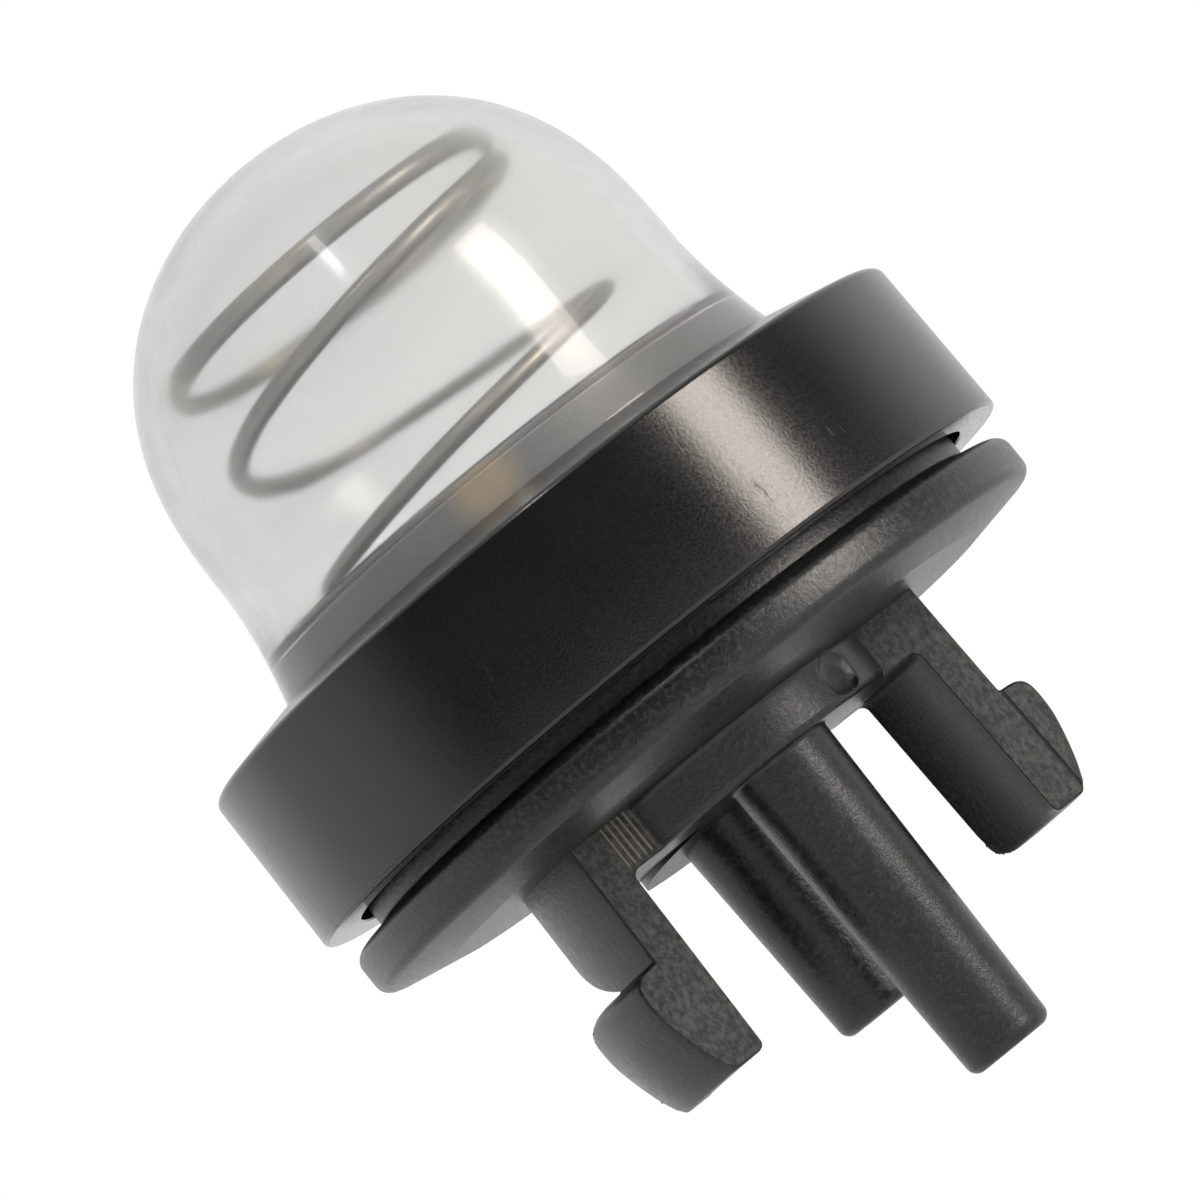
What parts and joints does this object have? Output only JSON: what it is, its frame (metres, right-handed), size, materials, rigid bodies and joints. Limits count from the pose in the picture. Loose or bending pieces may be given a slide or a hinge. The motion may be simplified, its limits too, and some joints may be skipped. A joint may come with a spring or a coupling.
{
  "type": "primer bulb",
  "caption": "Snap-in primer bulb: a clear squeeze dome over a return spring and a check valve, clamped by a ring onto a flanged base with hooked legs and hose nozzles.",
  "frame": {"origin": "centre of the flange's flat underside, which lies on the panel", "axes": "+Z along the bulb's axis towards the dome, hooked legs on X, the long nozzle on the -Y side"},
  "size_m": [0.022, 0.022, 0.0299],
  "materials": {
    "black_moulding": "moulded nylon with a fine spark-eroded grain",
    "satin_black_ring": "satin moulded plastic, lightly scuffed",
    "clear_bulb": "clear glossy polyurethane",
    "spring_wire": "bright drawn wire",
    "valve_rubber": "dull moulded rubber"
  },
  "bodies": {
    "base": {"base": "black_moulding", "retaining_ring": "satin_black_ring", "check_valve": "valve_rubber"},
    "bulb": {"bulb": "clear_bulb", "return_spring": "spring_wire"}
  },
  "joints": [
    {"name": "bulb_press", "type": "slide", "parent": "base", "child": "bulb", "axis": [0, 0, -1], "range_m": [0, 0.006], "stiffness_N_per_m": 1500, "deforming": ["bulb", "return_spring"]}
  ]
}
